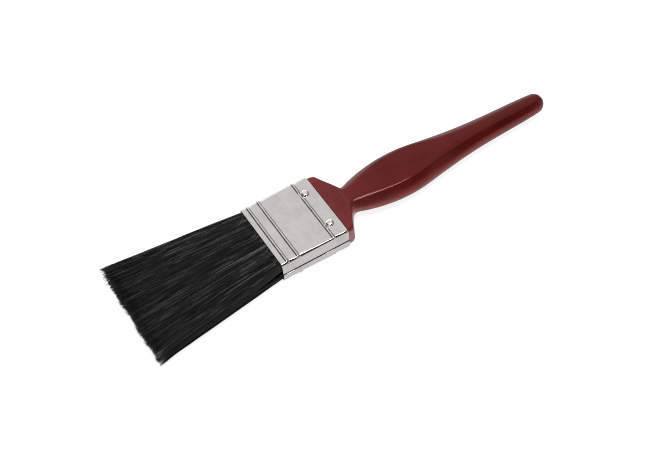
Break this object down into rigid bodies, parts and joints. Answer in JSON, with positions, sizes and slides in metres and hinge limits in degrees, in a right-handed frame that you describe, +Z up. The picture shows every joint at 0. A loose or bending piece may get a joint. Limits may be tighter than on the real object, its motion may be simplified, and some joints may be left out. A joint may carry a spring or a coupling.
{
  "type": "flat paint brush",
  "caption": "Flat trim paint brush: glossy maroon beavertail wooden handle, beaded nickel-plated ferrule with domed nails, and a black filling that fans out to a square-cut tip.",
  "frame": {"origin": "under the middle of the brush, halfway along its length, on its centre line, level with its lowest point (the lower nail heads)", "axes": "+X along the brush towards the end of the handle, +Z up out of the nailed face that shows, +Y to the far narrow side; the brush lies flat"},
  "size_m": [0.225, 0.0566, 0.0143],
  "materials": {
    "lacquered_wood": "gloss",
    "nickel_plate": "satin",
    "nail_steel": "gloss",
    "epoxy": "satin",
    "plug_wood": "matte",
    "filament": "satin"
  },
  "bodies": {
    "handle_assembly": {"handle": "lacquered_wood", "ferrule": "nickel_plate", "nail_top_far": "nail_steel", "nail_top_near": "nail_steel", "nail_bottom_far": "nail_steel", "nail_bottom_near": "nail_steel", "setting_resin": "epoxy", "spacer_plug": "plug_wood", "bristle_root_upper": "filament", "bristle_root_lower": "filament"},
    "bristle_head": {"bristle_upper_1": "filament", "bristle_upper_2": "filament", "bristle_upper_3": "filament", "bristle_upper_4": "filament", "bristle_upper_5": "filament", "bristle_lower_1": "filament", "bristle_lower_2": "filament", "bristle_lower_3": "filament", "bristle_lower_4": "filament", "bristle_lower_5": "filament"}
  },
  "joints": [
    {"name": "bristle_flex", "type": "hinge", "parent": "handle_assembly", "child": "bristle_head", "pos_m": [-0.043, 0, 0.00715], "axis": [0, 1, 0], "range_deg": [-32, 32], "stiffness_Nm_per_rad": 0.2}
  ]
}
